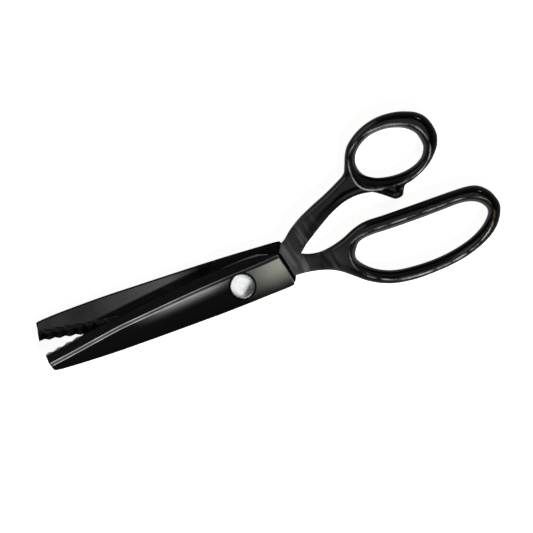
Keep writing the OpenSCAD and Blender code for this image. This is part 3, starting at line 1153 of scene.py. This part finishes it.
            # the land beyond the foot line, with a painted highlight streak towards the heel
            coat(TOOTH_STEEL_AND_LAND_HIGHLIGHT, blade & self.beyond(points, self.foot_line))
            coat(CHAMFER_STEEL, blade & ~bevel & (heel < self.chamfer * 0.9))
            # painted shade in the groove behind the plate and in the recess round the pivot
            coat(BEVEL_BLACK_AND_PAINTED_SHADE, ~blade & (heel < self.groove))
            coat(BEVEL_BLACK_AND_PAINTED_SHADE, radius < self.recess[0] + RECESS_STEPS[2])
        return out

    def finishes(self) -> list[Finish | BladeBlack | HandleEnamel]:
        """Every finish of a half, in the order of its material slots."""
        return [
            HandleEnamel(), self.black, GROUND_FACET, PAINTED_FACET_HIGHLIGHT, BEVEL_BLACK_AND_PAINTED_SHADE, HOLLOW_GREY,
            TOOTH_STEEL_AND_LAND_HIGHLIGHT, CHAMFER_STEEL,
        ]

    def wear(self, points: Points, side: Side) -> Values:
        """Paints highlight lines on the upper face along the crests of the ring and of the lug.

        Args:
            points: Places in the plan.
            side: The surface that they are on.

        Returns:
            Share of the painted highlight, from 0 to 1.
        """
        if side is Side.BOTTOM:
            return np.zeros(len(points))
        crest = away_from(points, self.rim_loop, True)
        if self.upper:
            crest = np.minimum(crest, away_from(points, self.lug_line))
        return np.exp(-((crest / self.painted_highlight_width) ** 2)) * ~within(points, self.blade_loop)

    def build(self, dressed: Materials) -> bpy.types.Object:
        """Makes the half.

        Args:
            dressed: The materials by name.

        Returns:
            The finished piece, riding on its body.
        """
        forging = Forging(
            self.name,
            [self.blade_loop, self.handle_loop],
            [self.hole_loop, self.bore],
            self.creases(),
            self.loose_points(),
        )
        piece = forging.build(self.height(True), self.height(False), self.finish_at, self.wear)
        for finish in self.finishes():
            piece.data.materials.append(dressed[finish.name])
        return fit(piece, self.body, self.node)


def keyed_loop(radius: float, flat: float) -> Points:
    """A circle with two flats, as a loop round the pivot axis."""
    loop = ring(radius, 72)
    loop[:, 1] = np.clip(loop[:, 1], -flat, flat)
    return loop


FRONT_HALF = Half(
    name="front_forging",
    node="front_half",
    body="front",
    upper=True,
    spine=[
        [23.6, -7.2], [20, -7.7], [10, -8.2], [0, -8.8], [-15, -9.4], [-35, -9.9], [-50, -10.2],
        [-67, -10.4], [-80, -10.2], [-90, -9.9], [-95.9, -9.5], [-97.7, -8.6], [-99, -5.2],
    ],
    edge=[
        [16.4, 11.4], [10, 12.6], [0, 12.4], [-15, 11.3], [-30, 9.8], [-50, 7.3], [-62, 5.6],
        [-75, 3.9], [-87, 1.8], [-93, 0.7], [-99.4, -0.4],
    ],
    heel=[[17.2, 9.4], [20.6, 8.4], [23.9, -5.8]],
    ridge=[
        [17, 8.9], [10, 8.2], [0, 7.5], [-15, 6.4], [-30, 5], [-50, 2.8], [-62, 1.4],
        [-75, -0.8], [-87, -2.9], [-93, -3.9], [-99.4, -4.9],
    ],
    handle=[
        [16, -5.6], [21, -6.6], [24, -6.2], [25.2, -4.6], [27.4, -0.2], [30.8, 5.2], [35, 9],
        [40, 12.4], [45, 15.6], [50, 18.6], [55, 21], [60, 22.7], [66, 23.4], [72.4, 22.6],
        [76.2, 20.4], [79.8, 17.7], [82.6, 15.9], [86, 16.4], [87.6, 19], [89, 20.8],
        [92.2, 21.6], [96.1, 23], [99.2, 24.4], [102.8, 26.7], [106, 29.6], [109.2, 33.7],
        [110.8, 38.6], [110.4, 43.6], [108.4, 48.4], [105, 51.8], [100.7, 53.8], [96, 55.2],
        [90, 55.88], [84.5, 55.5], [78.5, 53.9], [73.2, 51.2], [68.6, 47.5], [66, 43.4],
        [64.2, 38.8], [62.3, 35.1], [57, 32], [50, 28.6], [43, 25.6], [36, 22.2], [30, 18.3],
        [26.2, 15], [23.6, 13.2], [22, 10.6], [19, 7], [14, 4],
    ],
    hole=[
        [103, 37], [101.6, 42.4], [97.6, 46.3], [92.4, 48.4], [87, 49.2], [80.6, 48.6],
        [75.4, 46.2], [71.4, 42.6], [69.7, 38], [70.4, 33.8], [72.6, 30.9], [76.6, 28.6],
        [81.2, 27.4], [86, 26.9], [91.2, 27.2], [96.2, 28.5], [100, 30.7], [102.2, 33.6],
    ],
    rim=[
        [105.9, 36.6], [104.4, 42.2], [100.8, 46.6], [95, 49.2], [88, 50.6], [79.6, 50],
        [73, 47.4], [68.2, 43.4], [66.1, 38], [66, 31.6], [68, 26.6], [72, 23.8], [78, 22.4],
        [85, 22], [91.8, 22.7], [98, 24.9], [102.4, 28.2], [105, 32],
    ],
    bore=keyed_loop(4.03, 3.33),
    recess=(6.2, 1.6),
)

BACK_HALF = Half(
    name="back_forging",
    node="back_half",
    body="back",
    upper=False,
    spine=[
        [23.4, 14.7], [20, 15.1], [10, 15.5], [0, 15.9], [-15, 16.3], [-30, 16.5], [-50, 16.7],
        [-65, 16.8], [-80, 16.5], [-90, 16.1], [-98, 15.4], [-99.1, 14.6],
    ],
    edge=[
        [20, -7], [10, -8.2], [0, -8.6], [-12, -7.4], [-30, -4.7], [-50, -1.8], [-62, -0.1],
        [-75, 1.8], [-86, 3.8], [-93, 5], [-100.2, 6.2],
    ],
    heel=[[21.6, -6], [22.6, -4], [24, 13.8]],
    ridge=[
        [20, -3.2], [10, -3.9], [0, -4.1], [-12, -3], [-30, -0.2], [-50, 2.8], [-62, 4.6],
        [-75, 6.6], [-86, 8.5], [-93, 9.6], [-100.2, 10.8],
    ],
    handle=[
        [15, 1], [19, -0.6], [23.6, -3], [30, -3.5], [36, -4.4], [42, -6.1], [47, -8.7],
        [52, -12.6], [57, -16.6], [63, -19.9], [70, -22.2], [79, -23.3], [88, -23.2],
        [98, -22.3], [107, -20.5], [115, -17.6], [121, -14.2], [125.2, -10.2], [127.8, -5.6],
        [128.6, -1.8], [127.6, 2.2], [125.4, 6], [121.8, 9.2], [117, 10.7], [108, 11],
        [90, 10.75], [75, 10.6], [65.5, 10.65], [59, 9.2], [52, 6.2], [45, 4.3], [39, 3.8],
        [33, 5.2], [27, 8.6], [24.6, 12], [23, 13.6], [19, 12.6], [15, 9],
    ],
    hole=[
        [122.3, -3], [120.9, 0.2], [117.2, 2.8], [111, 4.1], [101, 3.8], [88, 3.4], [75, 3.3],
        [66, 3.4], [60, 2.4], [57, -0.4], [55.5, -4.6], [58.6, -9.2], [64, -13.2], [71, -15.9],
        [79, -17], [89, -17.2], [99, -16.2], [109, -13.7], [116.4, -10.1], [120.8, -6.2],
    ],
    rim=[
        [124.8, -3], [123, 1.6], [118.4, 4.7], [111, 6.1], [101, 5.9], [88, 5.6], [75, 5.5],
        [65.6, 5.3], [58.2, 4.1], [54, 1], [52.8, -5.4], [55.4, -11.8], [61, -16.6],
        [69.4, -20.2], [79, -21.8], [89, -21.9], [100, -20.7], [111, -17.6], [119.2, -12.8],
        [123.6, -7.6],
    ],
    bore=ring(4.0, 72),
    recess=(6.1, 2.63),
    black=BladeBlack("Blackened blade steel, under side", 0.148, (0.0045, -0.0023), (0.018, 0.005)),
)


# ---------------------------------------------------------------- hardware


@dataclass
class PivotBolt:
    """Domed pivot bolt, turned with a keyed neck, a bearing pin and a threaded end.

    Attributes:
        name: Name of the piece.
        head: Radius of the head.
        seat: Height that the head seats at.
        crown: Height of the middle of the dome.
        neck: Radius of the keyed neck, and half the distance between its flats.
        pin: Radius of the pin in the bush.
        thread: Outer radius of the thread.
        thread_run: Heights where the thread starts and ends.
        pitch: Pitch of the thread.
        shoulder: Height where the pin meets the neck.
        edge: Height of the head's upright edge, and radius of its rounding.
        edge_turn: How far the rounding goes, in degrees.
        around: Number of points round the bolt.
    """

    name: str = "pivot_bolt_turned"
    head: float = 5.9
    seat: float = 8.8
    crown: float = 10.9
    neck: tuple[float, float] = (4.0, 3.3)
    pin: float = 3.0
    thread: float = 2.5
    thread_run: tuple[float, float] = (0.1, 2.1)
    pitch: float = 0.7
    shoulder: float = 5.4
    edge: tuple[float, float] = (1.1, 0.45)
    edge_turn: float = 68.0
    around: int = ROUND

    def profile(self) -> list[tuple[float, float]]:
        """Draws half the bolt's section.

        Returns:
            Height and radius of each ring of points, from the thread's end to the dome.
        """
        low, high = self.thread_run
        rows = [(0.0, 1.9), (0.02, 2.1)]
        rows += [(low + 0.05 * step, self.thread) for step in range(40)]
        rows += [(high + 0.03, self.thread), (high + 0.04, self.pin - 0.15), (high + 0.2, self.pin)]
        rows += [(self.shoulder - 0.1, self.pin), (self.shoulder, self.pin)]
        rows += [(self.shoulder + 0.01, self.neck[0]), (self.seat, self.neck[0])]
        rows += [(self.seat + 0.001, self.head - 0.2), (self.seat + 0.2, self.head)]
        upright, radius = self.edge
        for turn in np.radians(np.linspace(0, self.edge_turn, 7)):
            rise = radius * math.sin(turn)
            rows.append((self.seat + upright + rise, self.head - radius * (1 - math.cos(turn))))
        start, wide = rows[-1]
        for share in (0.94, 0.86, 0.76, 0.64, 0.5, 0.36, 0.22, 0.1):
            rows.append((start + (self.crown - start) * (1 - share**2), wide * share))
        return rows

    def build(self, dressed: Materials) -> bpy.types.Object:
        """Makes the bolt.

        Args:
            dressed: The materials by name.

        Returns:
            The finished piece, riding on the front body.
        """
        rows = self.profile()
        count = self.around
        low, high = self.thread_run
        turn = np.arange(count) * 2 * math.pi / count
        rings = []
        for height, radius in rows:
            if low <= height < high:
                lead = np.abs((height / self.pitch - turn / (2 * math.pi)) % 1.0 - 0.5) * 2
                radius = radius - 0.3 * np.clip(lead * 1.25 - 0.12, 0, 1)
            x = radius * np.cos(turn)
            y = radius * np.sin(turn)
            if self.shoulder < height <= self.seat:
                y = np.clip(y, -self.neck[1], self.neck[1])
            rings.append(np.column_stack([x, y, np.full(count, height)]))
        corners = np.vstack(rings + [[[0, 0, 0]], [[0, 0, self.crown]]]) * MM
        steps = [(i, (i + 1) % count) for i in range(count)]
        foot = len(rows) * count
        last = foot - count
        faces = [
            [low + i, low + j, low + count + j, low + count + i]
            for low in range(0, last, count)
            for i, j in steps
        ]
        faces += [[foot, j, i] for i, j in steps]
        faces += [[foot + 1, last + i, last + j] for i, j in steps]
        mesh = bpy.data.meshes.new(self.name)
        mesh.from_pydata(corners.tolist(), [], faces)
        shade(mesh, 35.0)
        mesh.materials.append(dressed[CHROME.name])
        return fit(enter(self.name, mesh), "front", "pivot_bolt")


@dataclass
class AdjustingNut:
    """Slotted round nut that sets the play of the pivot.

    Attributes:
        name: Name of the piece.
        radius: Outer radius.
        thick: Thickness.
        bore: Radius of its threaded hole.
        slot: Half the width of the driver slot, and its depth.
        slot_wall: Run of the slot's sides.
        bevel: Size of the turned edges.
    """

    name: str = "adjusting_nut_slotted"
    radius: float = 5.8
    thick: float = 1.7
    bore: float = 2.53
    slot: tuple[float, float] = (0.7, 0.8)
    slot_wall: float = 0.06
    bevel: float = 0.25

    def turned_edge(self, points: Points) -> Values:
        """How far the outer edge is turned down."""
        return np.clip(radius_of(points) - self.radius + self.bevel, 0, self.bevel)

    def low(self, points: Points) -> Values:
        """Shapes the face with the slot.

        Args:
            points: Places in the plan.

        Returns:
            Its height.
        """
        half, deep = self.slot
        mouth = np.clip(self.bore + self.bevel - radius_of(points), 0, self.bevel)
        cut = deep * np.clip((half + self.slot_wall - np.abs(points[:, 1])) / self.slot_wall, 0, 1)
        return np.maximum(cut, np.maximum(self.turned_edge(points), mouth))

    def high(self, points: Points) -> Values:
        """Height of the face under the spring washer."""
        return self.thick - self.turned_edge(points)

    def build(self, dressed: Materials) -> bpy.types.Object:
        """Makes the nut.

        Args:
            dressed: The materials by name.

        Returns:
            The finished piece, riding on the front body.
        """
        inner = self.slot[0]
        outer = inner + self.slot_wall
        reach = self.radius + 1.2
        lines = [Crease(np.array([[-reach, y], [reach, y]])) for y in (-outer, -inner, inner, outer)]
        for radius in (self.radius - self.bevel, self.bore + self.bevel):
            lines.append(Crease(ring(radius, ROUND), True))
        forging = Forging(self.name, [ring(self.radius, ROUND)], [ring(self.bore, ROUND)], lines)
        piece = forging.build(self.high, self.low, lambda points, side: np.zeros(len(points)))
        piece.data.materials.append(dressed[NICKEL.name])
        return fit(piece, "front", "adjusting_nut")


@dataclass
class BallRace:
    """Ring of lapped balls between the two halves.

    Attributes:
        name: Name of the piece.
        count: Number of balls.
        ball: Radius of a ball.
        facets: Number of faces round a ball, and from pole to pole.
    """

    name: str = "bearing_ball_ring"
    count: int = 12
    ball: float = 1.0
    facets: tuple[int, int] = (32, 20)

    def tree(self) -> bpy.types.NodeTree:
        """Builds the tree that sets a ball on each point of a ring.

        Returns:
            The node group, with an input for each size and for the finish.
        """
        tree = bpy.data.node_groups.new("Ball ring", "GeometryNodeTree")
        kinds = {
            "Balls": "NodeSocketInt",
            "Ball radius": "NodeSocketFloat",
            "Ring radius": "NodeSocketFloat",
            "Height": "NodeSocketFloat",
            "Finish": "NodeSocketMaterial",
        }
        for name, kind in kinds.items():
            tree.interface.new_socket(name, in_out="INPUT", socket_type=kind)
        tree.interface.new_socket("Geometry", in_out="OUTPUT", socket_type="NodeSocketGeometry")
        nodes = Nodes(tree)
        sizes = tree.nodes.new("NodeGroupInput").outputs
        circle = nodes.add(
            "GeometryNodeMeshCircle", Vertices=sizes["Balls"], Radius=sizes["Ring radius"]
        )
        around, rings = self.facets
        facets = {"Segments": around, "Rings": rings}
        ball = nodes.add("GeometryNodeMeshUVSphere", facets, Radius=sizes["Ball radius"])
        copies = nodes.add("GeometryNodeInstanceOnPoints", Points=circle, Instance=ball)
        rise = nodes.add("ShaderNodeCombineXYZ", Z=sizes["Height"])
        lifted = nodes.add("GeometryNodeTransform", Geometry=copies, Translation=rise)
        real = nodes.add("GeometryNodeRealizeInstances", Geometry=lifted)
        rounded = nodes.add("GeometryNodeSetShadeSmooth", Geometry=real)
        finished = nodes.add("GeometryNodeSetMaterial", Geometry=rounded, Material=sizes["Finish"])
        tree.links.new(finished, tree.nodes.new("NodeGroupOutput").inputs["Geometry"])
        return tree

    def build(self, dressed: Materials) -> bpy.types.Object:
        """Makes the balls.

        Args:
            dressed: The materials by name.

        Returns:
            The finished piece, riding on the bearing body.
        """
        seed = enter("ball_ring_seed", bpy.data.meshes.new("ball_ring_seed"))
        modifier = seed.modifiers.new("Ball ring", "NODES")
        modifier.node_group = self.tree()
        values = {
            "Balls": self.count,
            "Ball radius": self.ball * MM,
            "Ring radius": GROOVE_RADIUS * MM,
            "Height": PLATE * MM,
            "Finish": dressed[BALL_STEEL.name],
        }
        for item in modifier.node_group.interface.items_tree:
            if item.in_out == "INPUT":
                modifier[item.identifier] = values[item.name]
        ready = seed.evaluated_get(bpy.context.evaluated_depsgraph_get())
        mesh = bpy.data.meshes.new_from_object(ready)
        seed.modifiers.clear()
        bpy.data.objects.remove(seed)
        mesh.name = self.name
        return fit(enter(self.name, mesh), "bearing", "bearing_balls")


@dataclass(frozen=True)
class CarriedNode:
    """A CAD node that keeps its shape and gets its real finish.

    Attributes:
        node: Name of the node.
        finish: Its finish.
    """

    node: str
    finish: Finish

    def dress(self, dressed: Materials) -> None:
        """Puts the finish on the node."""
        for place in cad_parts[self.node].material_slots:
            place.material = dressed[self.finish.name]


CARRIED = (
    CarriedNode("pivot_bush", BRONZE),
    CarriedNode("thrust_washer", BRONZE),
    CarriedNode("ball_cage", CAGE_BRASS),
    CarriedNode("spring_washer", SPRING_STEEL),
)


# ---------------------------------------------------------------- studio


@dataclass(frozen=True)
class SoftBox:
    """A lamp that looks at the shears.

    Attributes:
        name: Its name.
        place: Where it hangs, in metres.
        size: Its side in metres.
        power: Its power in watts.
        mirrored: False for a box that glossy faces don't show.
        lights: False for a box that only shows in glossy faces.
    """

    name: str
    place: tuple[float, float, float]
    size: float
    power: float
    mirrored: bool = True
    lights: bool = True

    def hang(self) -> None:
        """Hangs the lamp, turned to the pivot."""
        data = bpy.data.lights.new(self.name, "AREA")
        data.size = self.size
        data.energy = self.power
        lamp = enter(self.name, data)
        lamp.visible_glossy = self.mirrored
        lamp.visible_diffuse = self.lights
        lamp.location = self.place
        lamp.rotation_euler = (-Vector(self.place)).to_track_quat("-Z", "Y").to_euler()


@dataclass
class Studio:
    """Pale floor, soft lights and a long lens straight above.

    Attributes:
        turn: Turn of the camera round the vertical, in degrees.
        middle: Place in the plan that the camera looks at.
        view_width: Width of what it sees at half the height of the handles.
        lens: Focal length.
        sensor: Width of the sensor.
        near: Nearest distance that the camera sees, in metres.
        far: Farthest distance, in metres.
        floor_reach: Half the side of the floor, in metres.
        floor_drop: How far the floor is below the shears, in metres.
        boxes: The lamps.
        room: Tones of the room from the horizon to straight above, as sRGB hex.
    """

    turn: float = -18.75
    middle: tuple[float, float] = (13.74, 5.23)
    view_width: float = 254.0
    lens: float = 200.0
    sensor: float = 36.0
    near: float = 0.01
    far: float = 50.0
    floor_reach: float = 8.0
    floor_drop: float = 0.0001
    boxes: tuple[SoftBox, ...] = (
        SoftBox("key box", (0.28, -0.86, 0.9), 0.14, 15.0, mirrored=False),
        SoftBox("ceiling box", (-0.28, 0.3, 1.9), 1.5, 7.9, lights=False),
        SoftBox("side box", (-0.35, 1.1, 0.75), 0.6, 2.8, lights=False),
        SoftBox("front sheet", (0.1, -1.2, 0.85), 0.9, 3.4, lights=False),
        SoftBox("spark box", (0.55, 0.5, 0.75), 0.045, 0.4),
    )
    room: tuple[tuple[float, str], ...] = (
        (0.03, "ececec"), (0.12, "a0a0a0"), (0.5, "909090"), (0.78, "1c1c1c"),
    )

    def camera(self) -> None:
        """Sets up the camera."""
        data = bpy.data.cameras.new("camera")
        data.lens = self.lens
        data.sensor_width = self.sensor
        data.clip_start = self.near
        data.clip_end = self.far
        camera = enter("camera", data)
        distance = self.view_width * self.lens / self.sensor + HANDLE_TOP / 2
        camera.location = (self.middle[0] * MM, self.middle[1] * MM, distance * MM)
        camera.rotation_euler = (0, 0, math.radians(self.turn))
        bpy.context.scene.camera = camera

    def floor(self, dressed: Materials) -> None:
        """Lays the floor, which glossy faces don't show.

        Args:
            dressed: The materials by name.
        """
        mesh = bpy.data.meshes.new("floor")
        signs = ((-1, -1), (1, -1), (1, 1), (-1, 1))
        corners = [(x * self.floor_reach, y * self.floor_reach, -self.floor_drop) for x, y in signs]
        mesh.from_pydata(corners, [], [(0, 1, 2, 3)])
        mesh.materials.append(dressed[FLOOR.name])
        floor = enter("floor", mesh)
        floor.visible_glossy = False

    def world(self) -> None:
        """Gives the room a pale horizon and a dark ceiling, which only glossy faces show."""
        world = bpy.data.worlds.new("Room")
        bpy.context.scene.world = world
        world.use_nodes = True
        nodes = Nodes(world.node_tree)
        look = nodes.add("ShaderNodeTexCoord", output="Generated")
        height = nodes.add("ShaderNodeSeparateXYZ", output="Z", Vector=look)
        tones = nodes.add("ShaderNodeValToRGB", {"stops": self.room}, Fac=height)
        nodes.set_up(world.node_tree.nodes["Background"], {"Strength": 1.0}, {"Color": tones})
        world.cycles_visibility.diffuse = False

    def build(self, dressed: Materials) -> None:
        """Sets up the whole studio.

        Args:
            dressed: The materials by name.
        """
        self.camera()
        self.floor(dressed)
        self.world()
        for box in self.boxes:
            box.hang()
        bpy.context.scene.view_settings.view_transform = "Standard"


# ---------------------------------------------------------------- assembly


def main() -> None:
    """Builds the shears round the frame, in order from the lowest piece up."""
    logging.basicConfig(level=logging.INFO, format="%(name)s: %(message)s")
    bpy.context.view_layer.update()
    finishes = FRONT_HALF.finishes() + [
        BACK_HALF.black, CHROME, BRONZE, CAGE_BRASS, BALL_STEEL, SPRING_STEEL, NICKEL, FLOOR,
    ]
    dressed = {finish.name: finish.make() for finish in finishes}
    Studio().build(dressed)
    for part in (BACK_HALF, FRONT_HALF, PivotBolt(), AdjustingNut(), BallRace()):
        piece = part.build(dressed)
        LOG.info("%s: %d faces", piece.name, len(piece.data.polygons))
    for node in CARRIED:
        node.dress(dressed)
        LOG.info("%s: %s", node.node, node.finish.name)


if __name__ == "__main__":
    main()
